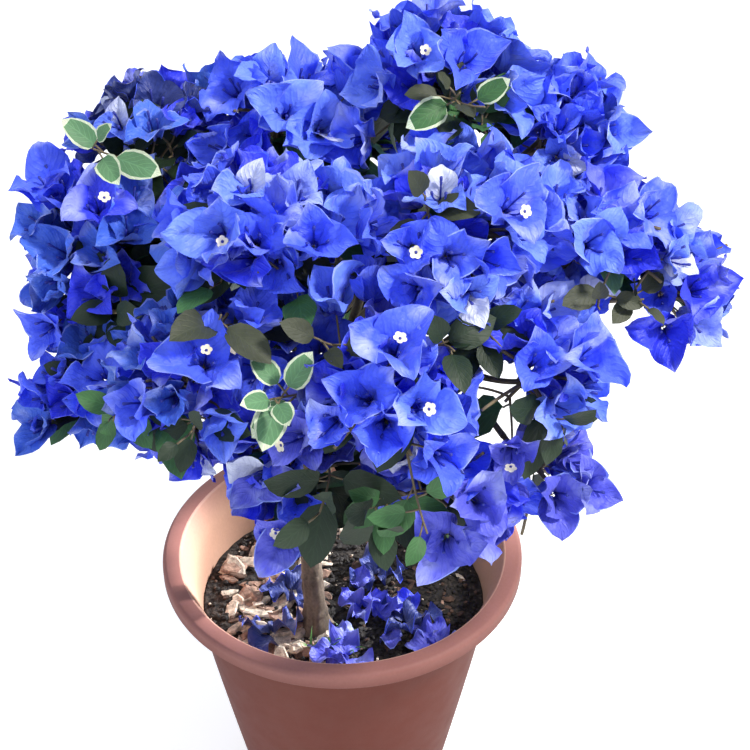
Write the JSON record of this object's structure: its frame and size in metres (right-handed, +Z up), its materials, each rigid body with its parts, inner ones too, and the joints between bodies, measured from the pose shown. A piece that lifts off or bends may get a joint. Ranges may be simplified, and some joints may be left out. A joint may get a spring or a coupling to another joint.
{
  "type": "potted bougainvillea bush",
  "caption": "Flowering garden shrub with a short trunk, tapering boughs and a dense dome of blue three-bract blossoms, growing in a round terracotta-coloured plastic pot.",
  "frame": {"origin": "centre of the pot's flat underside", "axes": "+Z up, +X to the right and +Y to the back of the bush as it is seen from the front"},
  "size_m": [0.5249, 0.4819, 0.6812],
  "materials": {
    "pot": "satin moulded terracotta-coloured plastic, sun-faded at its lip",
    "potting_mix": "dark crumbly mix with light bark chips",
    "bark": "grey-brown woody bark",
    "foliage": "papery blue bracts with green leaves",
    "bracts": "dry papery blue bracts"
  },
  "bodies": {
    "root": {"pot": "pot", "potting_mix": "potting_mix", "trunk": "bark", "bough_front_left": "bark", "bough_front_centre": "bark", "bough_front_low_left": "bark", "bough_front_low_right": "bark", "bough_front_inner": "bark", "bough_left_under": "bark", "bough_left_low": "bark", "bough_left_mid": "bark", "bough_left_top": "bark", "bough_centre_left": "bark", "bough_centre_right": "bark", "bough_top_left": "bark", "bough_top_mid": "bark", "bough_top_right": "bark", "bough_right_inner": "bark", "bough_right_mid": "bark", "bough_right_end": "bark", "bough_right_low": "bark", "bough_right_droop": "bark", "bough_back_left": "bark", "bough_back_mid": "bark", "bough_back_right": "bark", "bough_back_low": "bark", "mass_front_left": "foliage", "mass_front_centre": "foliage", "mass_front_low_left": "foliage", "mass_front_low_right": "foliage", "mass_front_inner": "foliage", "mass_left_under": "foliage", "mass_left_low": "foliage", "mass_left_mid": "foliage", "mass_left_top": "foliage", "mass_centre_left": "foliage", "mass_centre_right": "foliage", "mass_top_left": "foliage", "mass_top_mid": "foliage", "mass_top_right": "foliage", "mass_right_inner": "foliage", "mass_right_mid": "foliage", "mass_right_end": "foliage", "mass_right_low": "foliage", "mass_right_droop": "foliage", "mass_back_left": "foliage", "mass_back_mid": "foliage", "mass_back_right": "foliage", "mass_back_low": "foliage", "fallen_bracts_1": "bracts", "fallen_bracts_2": "bracts", "fallen_bracts_3": "bracts", "fallen_bracts_4": "bracts", "fallen_bracts_5": "bracts", "fallen_bracts_6": "bracts", "fallen_bracts_7": "bracts"}
  },
  "joints": []
}
